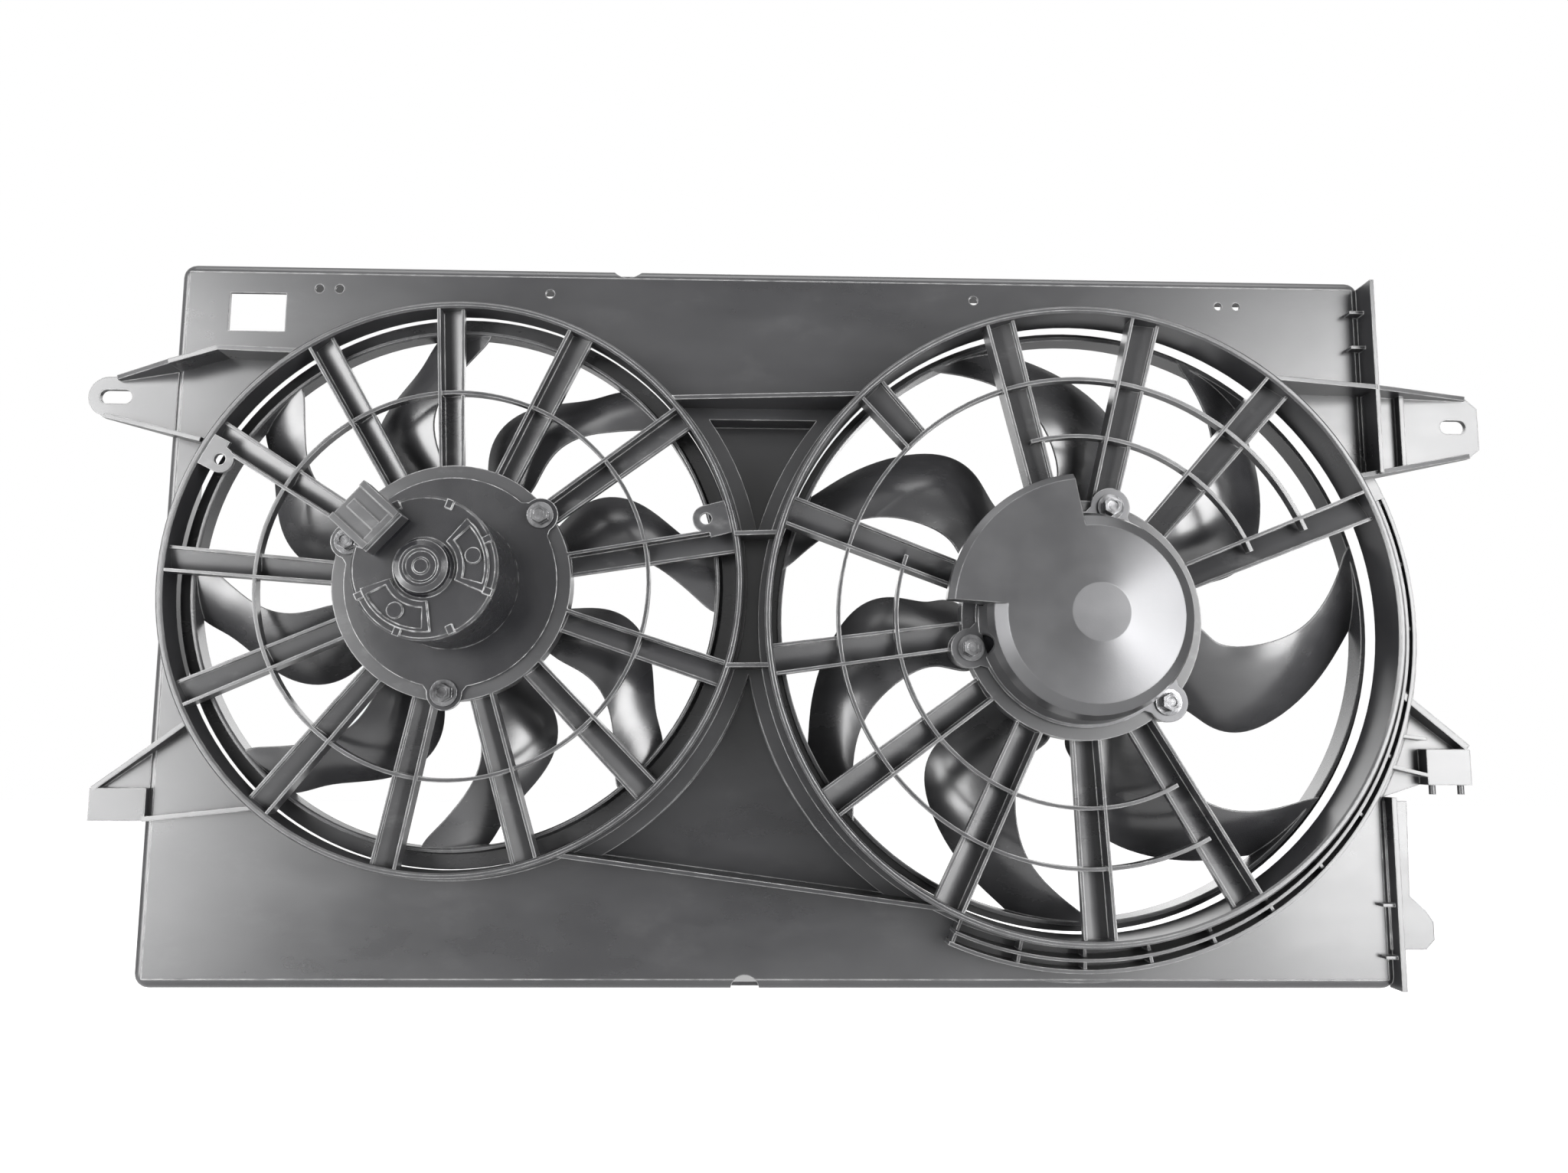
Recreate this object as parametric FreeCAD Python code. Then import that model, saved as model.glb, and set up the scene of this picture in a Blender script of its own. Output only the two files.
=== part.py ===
import FreeCAD, Part
import math
import os

# Twin electric radiator fan module: one moulded shroud with two stator guards,
# two banded fans and two brushed motors.
# Frame: +X to the right seen from the motor side, +Y from the engine to the radiator, +Z up.
# Shapes are drawn with the middle of the panel at X = Z = 0 and lifted when they are saved, so that
# the origin is the middle of the lower lip of the open rear rim, which faces the radiator core.

V = FreeCAD.Vector
PARTS = "parts"

# ---- fan openings and the panel round them ----
LEFT_OPEN_R = 178.0     # inside of the left barrel
RIGHT_OPEN_R = 195.5    # inside of the right barrel
OPENING_GAP = 21.7      # between the two openings, along X
LEFT_SIDE_GAP = 11.8    # opening to the end of the panel
RIGHT_SIDE_GAP = 5.5
LEFT_TOP_GAP = 35.0     # opening to the top of the panel
RIGHT_TOP_GAP = 37.5
RIGHT_BOTTOM_GAP = 34.5
BODY_W = LEFT_SIDE_GAP + 2 * LEFT_OPEN_R + OPENING_GAP + 2 * RIGHT_OPEN_R + RIGHT_SIDE_GAP
BODY_H = RIGHT_TOP_GAP + 2 * RIGHT_OPEN_R + RIGHT_BOTTOM_GAP
RIGHT_END = BODY_W / 2
LEFT_END = -RIGHT_END
TOP = BODY_H / 2
BOTTOM = -TOP
LEFT_X = LEFT_END + LEFT_SIDE_GAP + LEFT_OPEN_R
LEFT_Z = TOP - LEFT_TOP_GAP - LEFT_OPEN_R
RIGHT_X = RIGHT_END - RIGHT_SIDE_GAP - RIGHT_OPEN_R
RIGHT_Z = TOP - RIGHT_TOP_GAP - RIGHT_OPEN_R

# ---- shroud body ----
PLENUM_DEPTH = 45.0     # panel front face to rear rim
WALL = 2.5              # moulded wall
CORNER_R = 9.0          # panel corners
EDGE_R = 6.0            # rounded edge from panel to skirt
SKIRT_INNER_R = 6.0     # inside corner of the skirt
SLIVER = 200.0          # mm3, smaller leftovers of a cut are dropped
EDGE_LAP = 3.5          # ears and feet lap this far onto the rounded edge

# ---- barrels and their rims ----
LEFT_RIM_H = 21.0       # left rim above the panel
RIGHT_RIM_H = 36.0
LEFT_BORE_L = 20.0      # straight part of the barrel, behind it the barrel steps out
RIGHT_BORE_L = 30.5
LEFT_STEP = 4.0         # how far it steps out
RIGHT_STEP = 5.5
BARREL_WALL = 2.6
RIM_LIP = 4.2           # radial width of the rounded lip on each barrel
RIM_LIP_H = 5.0         # axial height of that lip

# ---- recessed valley between the openings ----
VALLEY_DEPTH = 20.0     # panel face to valley floor
SHOULDER_L = 16.0       # flat shoulder left round the left barrel
SHOULDER_R = 16.5
VALLEY_TOP_Z = TOP - 92.5
VALLEY_BOTTOM_Z = BOTTOM + 65.5
BEAM_LEDGE = 9.0        # beam to the edge of the valley below it
VALLEY_SLOPE = -0.131   # fall of the long rib per unit of X
RIB_T = 2.8             # ribs and beam

# ---- outer collar of the right opening ----
COLLAR_GAP = 22.5       # opening to collar
COLLAR_R = RIGHT_OPEN_R + COLLAR_GAP
COLLAR_STEP = 10.0      # collar to the step wall
BULGE_R = COLLAR_R + 8.0
COLLAR_H = 14.0         # above the panel
COLLAR_START = -113.0   # degrees, seen from the motor side, counter-clockwise
COLLAR_END = 22.0
COLLAR_RIBS = 12

# ---- upper ears and lower feet ----
EAR_T = 3.5
EAR_WALL = 3.0
SLOT_W = 9.2
LEFT_SLOT_L = 20.7
RIGHT_SLOT_L = 17.4
LEFT_SLOT_X = LEFT_END - 36.0
LEFT_SLOT_Z = TOP - 91.2
RIGHT_SLOT_X = RIGHT_END + 57.7
RIGHT_SLOT_Z = TOP - 100.0
EAR_R = 13.2            # lobe round the left slot
PEG_R = 2.0             # locating pegs of the right foot
PEG_L = 6.0

# ---- stator guards ----
SPOKE_COUNT = 13
SPOKE_T = 2.0
GUARD_RING_T = 2.4
GUARD_RING_H = 7.0
HUB_RING_H = 14.0
HUB_FACE_T = 3.0
LEFT_HUB_R = 74.3
RIGHT_HUB_R = 76.0
LEFT_SPOKE_W = 16.0
RIGHT_SPOKE_W = 18.5
LEFT_SPOKE_H = 12.0
RIGHT_SPOKE_H = 15.0
LEFT_FIRST_SPOKE = 92.5
RIGHT_FIRST_SPOKE = 105.0
LEFT_GUARD_R = 0.688 * LEFT_OPEN_R
RIGHT_GUARD_R_OUT = 0.786 * RIGHT_OPEN_R
RIGHT_GUARD_R_IN = 0.60 * RIGHT_OPEN_R
HUB_DROP_L = 1.0        # hub face behind the left rim plane
HUB_DROP_R = 14.0       # hub face behind the right rim plane
TAB_HOLE_R = 3.6
LEFT_TABS = ((152.6, 11.4), (14.9, 14.4))       # angle of each tab and its hole's distance from the rim

# ---- motors ----
CAN_R = 42.0
CAN_WALL = 2.0
CAN_HOLE_GAP = 0.4      # can to the holes it passes through
PLATE_T = 2.5
PLATE_R = 66.0
BUSH_R = 8.0
BUSH_L = 9.0
SHAFT_R = 4.0
RUN_GAP = 0.05          # shaft in bushing
BOLT_R = 3.0
BOLT_HEAD_R = 8.3
LEFT_LOBE_R = 11.0      # plate ear round each bolt
RIGHT_LOBE_R = 12.5
COVER_T = 1.5
BOLT_HOLE_GAP = 0.4
INSERT_R = 4.6
INSERT_L = 11.0
LEFT_BOLT_PITCH_R = 69.0
RIGHT_BOLT_PITCH_R = 73.3
LEFT_BOLT_ANGLES = (38.0, 159.0, 269.0)
RIGHT_BOLT_ANGLES = (75.0, 195.0, 315.0)
LEFT_CAN_END = -62.0    # end cap face from the mounting face
LEFT_CAN_NOSE = 8.0
RIGHT_CAN_END = -31.0
RIGHT_CAN_NOSE = 20.0
EAR_POCKET_GAP = 0.6    # guard clear of the plate's ears

# ---- fans ----
FAN_HUB_R = 60.0
FAN_WALL = 2.5
BAND_WALL = 2.5
FLANGE_LAP = 0.2        # band flange beyond the bore in front of it
LEFT_BAND_R = LEFT_OPEN_R - 13.5                # inside of the band
RIGHT_BAND_R = RIGHT_OPEN_R - 7.0
LEFT_BAND_L = 13.0
RIGHT_BAND_L = 16.5
BLADE_T = 2.4
BLADE_EDGE_T = 1.2

PANEL_Y = -PLENUM_DEPTH
PANEL_BACK = PANEL_Y + WALL
VALLEY_Y = PANEL_Y + VALLEY_DEPTH
LEFT_RIM_Y = PANEL_Y - LEFT_RIM_H
RIGHT_RIM_Y = PANEL_Y - RIGHT_RIM_H
LEFT_MOUNT_Y = LEFT_RIM_Y + HUB_DROP_L
RIGHT_MOUNT_Y = RIGHT_RIM_Y + HUB_DROP_R
SPOKE_STEP = 360.0 / SPOKE_COUNT
LIFT = BODY_H / 2 - WALL / 2


# ---------------------------------------------------------------- helpers
def cyl(r, y0, y1, x=0.0, z=0.0):
    return Part.makeCylinder(r, y1 - y0, V(x, y0, z), V(0, 1, 0))


def ring(r_out, r_in, y0, y1, x=0.0, z=0.0):
    return cyl(r_out, y0, y1, x, z).cut(cyl(r_in, y0 - 1, y1 + 1, x, z))


def box(x0, x1, y0, y1, z0, z1):
    return Part.makeBox(x1 - x0, y1 - y0, z1 - z0, V(x0, y0, z0))


def prism(points, y0, y1):
    """Straight prism along Y over a polygon given as (x, z)."""
    loop = [V(x, y0, z) for x, z in points]
    face = Part.Face(Part.makePolygon(loop + [loop[0]]))
    return face.extrude(V(0, y1 - y0, 0))


def turned(profile, x=0.0, z=0.0, angle=360.0):
    """Solid of revolution about Y through (x, z); the profile is (radius, y) points."""
    loop = [V(x + r, y, z) for r, y in profile]
    face = Part.Face(Part.makePolygon(loop + [loop[0]]))
    return face.revolve(V(x, 0, z), V(0, -1, 0), angle)


def spin(shape, degrees, x=0.0, z=0.0):
    """Turn a copy about Y, counter-clockwise seen from the motor side."""
    copy = shape.copy()
    copy.rotate(V(x, 0, z), V(0, 1, 0), -degrees)
    return copy


def moved(shape, x, y, z):
    copy = shape.copy()
    copy.translate(V(x, y, z))
    return copy


def fuse(shapes):
    shapes = list(shapes)
    if len(shapes) == 1:
        return shapes[0]
    return shapes[0].multiFuse(shapes[1:]).removeSplitter()


def sector(r, y0, y1, start, end, x=0.0, z=0.0):
    """Pie slice from start to end degrees, counter-clockwise seen from the motor side."""
    def at(deg, radius):
        a = math.radians(deg)
        return V(x + radius * math.cos(a), y0, z + radius * math.sin(a))
    arc = Part.Arc(at(start, r), at((start + end) / 2, r), at(end, r)).toShape()
    centre = V(x, y0, z)
    wire = Part.Wire([Part.makeLine(centre, at(start, r)), arc, Part.makeLine(at(end, r), centre)])
    return Part.Face(wire).extrude(V(0, y1 - y0, 0))


def wall_between(x0, z0, x1, z1, t, front0, front1, back):
    """Upright wall from (x0, z0) to (x1, z1); its front edge runs from front0 to front1."""
    length = math.hypot(x1 - x0, z1 - z0)
    nx = -(z1 - z0) / length * t / 2
    nz = (x1 - x0) / length * t / 2
    loop = [V(x0 + nx, front0, z0 + nz), V(x1 + nx, front1, z1 + nz)]
    loop += [V(x1 + nx, back, z1 + nz), V(x0 + nx, back, z0 + nz)]
    face = Part.Face(Part.makePolygon(loop + [loop[0]]))
    return face.extrude(V(-2 * nx, 0, -2 * nz))


def trimmed(shape, others):
    """A shape once the pieces it meets are taken out of it; slivers are left out."""
    rest = shape.cut(Part.makeCompound(others))
    return Part.makeCompound([s for s in rest.Solids if s.Volume > SLIVER])


def polar(r, deg, x=0.0, z=0.0):
    a = math.radians(deg)
    return x + r * math.cos(a), z + r * math.sin(a)


def save(name, shape):
    moved(shape, 0, 0, LIFT).exportStep(os.path.join(PARTS, name + ".step"))


# ---------------------------------------------------------------- shroud body
def rounded_box(w, h, y0, y1, corner, edge):
    """Box along Y with rounded corners; its front face edge is rounded too."""
    body = box(-w / 2, w / 2, y0, y1, -h / 2, h / 2)
    uprights = [e for e in body.Edges if abs(e.tangentAt(e.FirstParameter).y) > 0.9]
    body = body.makeFillet(corner, uprights)
    front = [e for e in body.Edges if e.BoundBox.YMax < y0 + 0.001]
    return body.makeFillet(edge, front)


def body_shell():
    outer = rounded_box(BODY_W, BODY_H, PANEL_Y, 0, CORNER_R, EDGE_R)
    bulge = cyl(BULGE_R, PANEL_Y, 0, RIGHT_X, RIGHT_Z)
    inner = rounded_box(BODY_W - 2 * WALL, BODY_H - 2 * WALL, PANEL_BACK, 1, SKIRT_INNER_R, EDGE_R - WALL)
    inner_bulge = cyl(BULGE_R - WALL, PANEL_BACK, 1, RIGHT_X, RIGHT_Z)
    return outer.fuse(bulge).cut(inner.fuse(inner_bulge))


def valley_region(y0, y1, grow):
    """Space between the two barrels, under the beam and over the long rib."""
    bottom_left = VALLEY_BOTTOM_Z - VALLEY_SLOPE * 160 - grow
    bottom_right = VALLEY_BOTTOM_Z + VALLEY_SLOPE * 160 - grow
    top = VALLEY_TOP_Z - BEAM_LEDGE + grow
    zone = prism([(-160, top), (160, top), (160, bottom_right), (-160, bottom_left)], y0, y1)
    zone = zone.cut(cyl(LEFT_OPEN_R + SHOULDER_L - grow, y0 - 1, y1 + 1, LEFT_X, LEFT_Z))
    zone = zone.cut(cyl(RIGHT_OPEN_R + SHOULDER_R - grow, y0 - 1, y1 + 1, RIGHT_X, RIGHT_Z))
    return Part.makeCompound([s for s in zone.Solids if abs(s.BoundBox.Center.x) < 120])


def barrel(x, z, open_r, rim_y, back):
    """Barrel wall with a rounded lip at its rim."""
    outer = open_r + BARREL_WALL
    lip = open_r + RIM_LIP
    profile = [(open_r, back), (open_r, rim_y + 1.2), (open_r + 1.2, rim_y), (lip - 1.2, rim_y)]
    profile += [(lip, rim_y + 1.2), (lip, rim_y + RIM_LIP_H), (outer, rim_y + RIM_LIP_H + 2), (outer, back)]
    return turned(profile, x, z)


def stepped_barrel(x, z, open_r, rim_y, bore_l, step):
    """Barrel that is straight at the rim and wider behind that, down to the panel."""
    step_y = rim_y + bore_l
    wide = open_r + step
    body = barrel(x, z, open_r, rim_y, step_y)
    ledge = ring(wide + BARREL_WALL, open_r, step_y - BARREL_WALL, step_y, x, z)
    skirt = ring(wide + BARREL_WALL, wide, step_y - BARREL_WALL, PANEL_Y, x, z)
    return fuse([body, ledge, skirt])


def beam_and_ribs():
    """Beam, cross ribs and long rib that tie the two barrels together."""
    def front_at(x):
        """Front level of a rib: it runs from one rim plane to the other."""
        share = min(1.0, max(0.0, (x + 40) / 70))
        return LEFT_RIM_Y + 1 + (RIGHT_RIM_Y - LEFT_RIM_Y) * share
    ribs = []
    dz = VALLEY_TOP_Z - LEFT_Z
    x0 = LEFT_X + math.sqrt((LEFT_OPEN_R + 1) ** 2 - dz ** 2)
    dz = VALLEY_TOP_Z - RIGHT_Z
    x1 = RIGHT_X - math.sqrt((RIGHT_OPEN_R + 1) ** 2 - dz ** 2)
    ribs.append(wall_between(x0, VALLEY_TOP_Z, x1, VALLEY_TOP_Z, RIB_T, front_at(x0), front_at(x1), VALLEY_Y))
    for z in (LEFT_Z + 32.5, LEFT_Z - 50.5):
        x0 = LEFT_X + math.sqrt((LEFT_OPEN_R + 1) ** 2 - (z - LEFT_Z) ** 2)
        x1 = RIGHT_X - math.sqrt((RIGHT_OPEN_R + 1) ** 2 - (z - RIGHT_Z) ** 2)
        ribs.append(wall_between(x0, z, x1, z, RIB_T, front_at(x0), front_at(x1), VALLEY_Y))
    ends = []
    for x in (LEFT_X + 61.0, RIGHT_X - 85.0):
        ends.append((x, VALLEY_BOTTOM_Z + VALLEY_SLOPE * x))
    (x0, z0), (x1, z1) = ends
    ribs.append(wall_between(x0, z0, x1, z1, RIB_T, LEFT_RIM_Y + 2, RIGHT_RIM_Y + 12, PANEL_Y))
    room = box(-BODY_W, BODY_W, 2 * RIGHT_RIM_Y, PANEL_Y, -BODY_H, BODY_H)
    room = room.fuse(valley_region(PANEL_Y, VALLEY_Y, 0.0))
    return Part.makeCompound(ribs).common(room)


def right_collar():
    """Second wall outside the right barrel, with short radial ribs."""
    front = PANEL_Y - COLLAR_H
    wall = ring(COLLAR_R, COLLAR_R - WALL, front, PANEL_Y, RIGHT_X, RIGHT_Z)
    step = ring(COLLAR_R - COLLAR_STEP + 2, COLLAR_R - COLLAR_STEP, front - 6, PANEL_Y, RIGHT_X, RIGHT_Z)
    pie = sector(COLLAR_R + 5, front - 10, 0, COLLAR_START, COLLAR_END, RIGHT_X, RIGHT_Z)
    pieces = [wall.common(pie), step.common(pie)]
    span = (COLLAR_END - COLLAR_START) / COLLAR_RIBS
    r_in = RIGHT_OPEN_R + BARREL_WALL / 2
    rib = box(r_in, COLLAR_R - WALL / 2, front + 2, PANEL_Y, -1.0, 1.0)
    for i in range(COLLAR_RIBS + 1):
        pieces.append(moved(spin(rib, COLLAR_START + 0.6 + i * (span - 0.1)), RIGHT_X, 0, RIGHT_Z))
    return fuse(pieces)


def slot_cutter(x, z, length, width, y0, y1):
    half = (length - width) / 2
    return fuse([cyl(width / 2, y0, y1, x - half, z), cyl(width / 2, y0, y1, x + half, z),
                 box(x - half, x + half, y0, y1, z - width / 2, z + width / 2)])


def left_ear():
    """Slotted ear with an upper and a lower stiffening wall."""
    y0 = PANEL_Y
    y1 = PANEL_Y + EAR_T
    edge = LEFT_END + EDGE_LAP
    x, z = LEFT_SLOT_X, LEFT_SLOT_Z
    lobe = cyl(EAR_R, y0, y1, x - 4.5, z)
    plate = prism([(x - 5, z + EAR_R - 0.2), (edge, z + 16.7), (edge, z - 25.3), (x - 8, z - EAR_R + 0.6)], y0, y1)
    body = fuse([lobe, plate])
    rim_x, rim_z = LEFT_X - 102.8, LEFT_Z + LEFT_OPEN_R - 30.0
    walls = [wall_between(x + 2, z + 11.7, edge + 1.5, z + 18.7, EAR_WALL, y0 - 4, y0 - 18, y1)]
    walls.append(wall_between(edge + 1, z + 18.7, edge + 32.5, z + 27.7, EAR_WALL, y0 - 18, y0 - 20, PANEL_BACK))
    walls.append(wall_between(edge + 32, z + 27.7, rim_x, rim_z, EAR_WALL, y0 - 20, y0 - 20, PANEL_BACK))
    rim_x, rim_z = LEFT_X - LEFT_OPEN_R + 15.2, LEFT_Z + 90.5
    walls.append(wall_between(x - 6, z - 12.8, rim_x, rim_z, EAR_WALL, y0 - 3, y0 - 16, PANEL_BACK))
    hole = slot_cutter(LEFT_SLOT_X, LEFT_SLOT_Z, LEFT_SLOT_L, SLOT_W, y0 - 30, y1 + 1)
    return fuse([body] + walls).cut(hole)


def right_ear():
    y0 = PANEL_Y
    y1 = PANEL_Y + EAR_T
    edge = RIGHT_END - EDGE_LAP
    tip = RIGHT_SLOT_X + 17
    z = RIGHT_SLOT_Z
    plate = prism([(edge, z + 20.5), (tip - 9, z + 20.5), (tip, z + 12.5), (tip, z - 15.5), (tip - 8, z - 21.5),
                   (edge, z - 34.5)], y0, y1)
    rim_x, rim_z = RIGHT_X + 122.0, RIGHT_Z + RIGHT_OPEN_R - 39.5
    walls = [wall_between(rim_x, rim_z, edge + 2.5, z + 21.5, EAR_WALL, RIGHT_RIM_Y + 4, y0 - 18, PANEL_BACK)]
    walls.append(wall_between(edge + 1.5, z + 21.5, tip - 9, z + 19, EAR_WALL, y0 - 18, y0 - 2, y1))
    walls.append(wall_between(edge - 13.5, z - 38, tip - 8, z - 20, EAR_WALL, y0 - 18, y0 - 2, y1))
    step = wall_between(edge + 24, z - 28.5, edge + 24, z + 20.5, EAR_WALL, y0 - 6, y0 - 6, y1)
    hole = slot_cutter(RIGHT_SLOT_X, RIGHT_SLOT_Z, RIGHT_SLOT_L, SLOT_W, y0 - 30, y1 + 1)
    return fuse([plate, step] + walls).cut(hole)


def left_foot():
    """Boxed locating foot at the lower left, with the slanted brace above it."""
    y0 = PANEL_Y - 5
    y1 = PANEL_Y + 8
    out = LEFT_END - 31.0
    lap = LEFT_END + EDGE_LAP
    low = BOTTOM + 101.5
    block = box(out, lap, y0, y1, low, low + 20)
    pocket = box(out + 3, LEFT_END - 3, y0 + 3, y1 + 1, low - 1, low + 17)
    rim_x, rim_z = LEFT_X - LEFT_OPEN_R + 15.2, LEFT_Z - 88.5
    brace = wall_between(out + 1.5, low + 19.5, rim_x, rim_z, EAR_WALL, y0, y0 - 6, PANEL_Y + EAR_T)
    gusset = prism([(out, low + 20), (lap, low + 20), (lap, low + 45)], PANEL_Y, PANEL_Y + EAR_T)
    rim_x, rim_z = LEFT_X - 113.8, LEFT_Z - LEFT_OPEN_R + 38.5
    shelf = wall_between(LEFT_END + 2, low + 1, rim_x, rim_z, EAR_WALL, y0, y0 - 4, PANEL_Y + WALL / 2)
    return fuse([block.cut(pocket), brace, gusset, shelf])


def right_foot():
    """Boxed foot at the lower right with two locating pegs below it."""
    y0 = PANEL_Y - 10
    y1 = PANEL_Y + 8
    edge = RIGHT_END - EDGE_LAP
    x0 = edge + 24.5
    x1 = x0 + 28.2
    low = BOTTOM + 127.5
    block = box(x0, x1, y0, y1, low, low + 22.5)
    pocket = box(x0 + 3, x1 - 3, y0 + 3, y1 + 1, low + 2.5, low + 19.5)
    brace = wall_between(x0 - 18, low + 59.2, x1 - 1.2, low + 23.5, 4.0, y0 - 4, y0, y1)
    plate = prism([(edge, low + 52), (x0 - 8, low + 48), (x1 - 2, low + 21), (x0 + 2, low + 14), (x0, low),
                   (edge, low - 8)], PANEL_Y, PANEL_Y + EAR_T)
    ribs = [wall_between(edge, low + 32, x0 + 1, low + 29, 2.2, y0, y0, PANEL_Y + 1)]
    ribs.append(wall_between(edge, low + 12, x0 + 1, low + 6, 2.2, y0, y0, PANEL_Y + 1))
    pegs = []
    for x in (x0 + 5, x1 - 4.7):
        pegs.append(Part.makeCylinder(PEG_R, PEG_L + 1, V(x, PANEL_Y - 5, low - PEG_L), V(0, 0, 1)))
    return fuse([block, brace, plate] + ribs + pegs).cut(pocket)


def right_flange():
    """Upright wall along the right edge, with small gussets at its foot."""
    x1 = RIGHT_END
    upper = box(x1 - WALL, x1, PANEL_Y - 18, PANEL_Y + EDGE_R, TOP - 135.5, TOP - 5.5)
    lower = box(x1 - WALL, x1 + 0.8, PANEL_Y - 9, PANEL_Y + EDGE_R, BOTTOM + 0.5, BOTTOM + 119.5)
    pieces = [upper, lower]
    gussets = ((TOP - 25.5, 12, 8), (TOP - 49.5, 12, 8), (BOTTOM + 51.5, 10, 6), (BOTTOM + 19.5, 10, 6))
    for z, reach, rise in gussets:
        pieces.append(box(x1 - reach, x1 - 1, PANEL_Y - rise, PANEL_BACK, z, z + 2))
    edge = x1 - EDGE_LAP
    outline = ((0, 117), (15.3, 117), (13.7, 57.5), (23.5, 48.5), (28.1, 41.5), (28.1, 30.5), (22.5, 24.5), (0, 24.5))
    pieces.append(prism([(edge + out, BOTTOM + up) for out, up in outline], PANEL_Y, PANEL_Y + 2))
    return pieces


PANEL_HOLES = ((LEFT_END + 90.7, 16.2, 2.9), (LEFT_END + 103.8, 16.2, 2.9), (LEFT_END + 242.0, 17.5, 2.9),
               (RIGHT_END - 262.4, 17.5, 2.9), (RIGHT_END - 97.3, 18.9, 2.6), (RIGHT_END - 85.1, 18.9, 2.6))


def panel_and_skirt():
    """Front panel with its valley, and the skirt round it, as two touching solids."""
    shell = body_shell().fuse(valley_region(PANEL_Y, VALLEY_Y + WALL, WALL))
    shell = shell.cut(valley_region(PANEL_Y - 1, VALLEY_Y, 0.0)).multiFuse(right_flange())
    cuts = [cyl(LEFT_OPEN_R + LEFT_STEP, 2 * PANEL_Y, 1, LEFT_X, LEFT_Z)]
    cuts.append(cyl(RIGHT_OPEN_R + RIGHT_STEP, 2 * PANEL_Y, 1, RIGHT_X, RIGHT_Z))
    cuts.append(box(LEFT_END + 33, LEFT_END + 69.5, PANEL_Y - 5, PANEL_BACK + 1, TOP - 45.7, TOP - 19.9))
    for x, drop, r in PANEL_HOLES:
        cuts.append(cyl(r, PANEL_Y - 5, PANEL_BACK + 1, x, TOP - drop))
    cuts.append(cyl(11.0, PANEL_Y - 5, PANEL_Y + 12, -100.0, TOP + 5.5))
    cuts.append(cyl(8.7, PANEL_Y - 5, PANEL_Y + 12, -17.8, BOTTOM))
    shell = shell.cut(Part.makeCompound(cuts)).removeSplitter()
    middle = box(LEFT_END + EDGE_R, RIGHT_END - EDGE_R, PANEL_Y, 1, BOTTOM + EDGE_R, TOP - EDGE_R)
    return shell.common(middle), shell.cut(middle)


def save_moulding():
    """The moulding is one piece; it is saved as touching solids so that its hollows stay open."""
    panel, skirt = panel_and_skirt()
    left = stepped_barrel(LEFT_X, LEFT_Z, LEFT_OPEN_R, LEFT_RIM_Y, LEFT_BORE_L, LEFT_STEP)
    right = stepped_barrel(RIGHT_X, RIGHT_Z, RIGHT_OPEN_R, RIGHT_RIM_Y, RIGHT_BORE_L, RIGHT_STEP)
    collar = trimmed(right_collar(), [panel, skirt, right])
    ribs = trimmed(beam_and_ribs(), [left, right, collar])
    hollow = box(LEFT_END + WALL, RIGHT_END - WALL, PANEL_BACK, 0, BOTTOM + WALL, TOP - WALL)
    known = [panel, skirt, left, right, collar, ribs]
    save("shroud_body", panel)
    save("shroud_skirt", skirt)
    save("left_barrel", left)
    save("right_barrel", right)
    save("right_collar", collar)
    save("bridge_ribs", ribs)
    for name, shape in (("left_ear", left_ear()), ("right_ear", right_ear()), ("left_foot", left_foot())):
        piece = trimmed(shape, known + [hollow])
        known.append(piece)
        save(name, piece)
    save("right_foot", trimmed(right_foot(), known))


# ---------------------------------------------------------------- guards
def spoke_section(r, width, front, height):
    """Channel section of one stator spoke at radius r along +X."""
    t = SPOKE_T
    half = width / 2
    deep = front + height
    pts = [(half, front), (half, deep), (-half, deep - 0.38 * height), (-half, front + 0.25 * height)]
    pts += [(-half + t, front + 0.25 * height), (-half + t, deep - 0.38 * height - t), (half - t, deep - t), (half - t, front)]
    loop = [V(r, y, z) for z, y in pts]
    return Part.makePolygon(loop + [loop[0]])


def spoke(r0, front0, r1, front1, width, height):
    ends = [spoke_section(r0, width - 1.0, front0, height), spoke_section(r1, width + 1.0, front1, height)]
    return Part.makeLoft(ends, True, True)


def hub_ring(outer, bolt_angles, pitch_r, ear_r):
    """Flat hub ring with walls, and one boss for each motor bolt."""
    inner = CAN_R + CAN_HOLE_GAP
    face = ring(outer, inner, 0, HUB_FACE_T)
    rim = ring(outer, outer - WALL, 0, HUB_RING_H)
    throat = ring(inner + WALL, inner, 0, HUB_RING_H)
    pieces = [face, rim, throat]
    holes = []
    for deg in bolt_angles:
        x, z = polar(pitch_r, deg)
        pieces.append(cyl(ear_r, 0, HUB_RING_H, x, z))
        holes.append(cyl(INSERT_R, -1, INSERT_L, x, z))
    for deg in range(0, 360, 30):
        pieces.append(spin(box(inner + 1, outer - 1, 0, HUB_RING_H - 3, -1, 1), deg))
    holes.append(cyl(inner, -20, HUB_RING_H + 1))
    return pieces, holes


def guard_tab(deg, r_hole, front):
    """Clip tab between a spoke and the rim, and the cutter of its hole."""
    half = 8.5
    tab = box(r_hole, LEFT_OPEN_R + 1, front, front + 3, -half - 4, half)
    tab = tab.fuse(cyl(half, front, front + 3, r_hole, 0))
    hx, hz = polar(r_hole, deg)
    return spin(tab, deg), cyl(TAB_HOLE_R, front - 1, front + 4, hx, hz)


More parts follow.
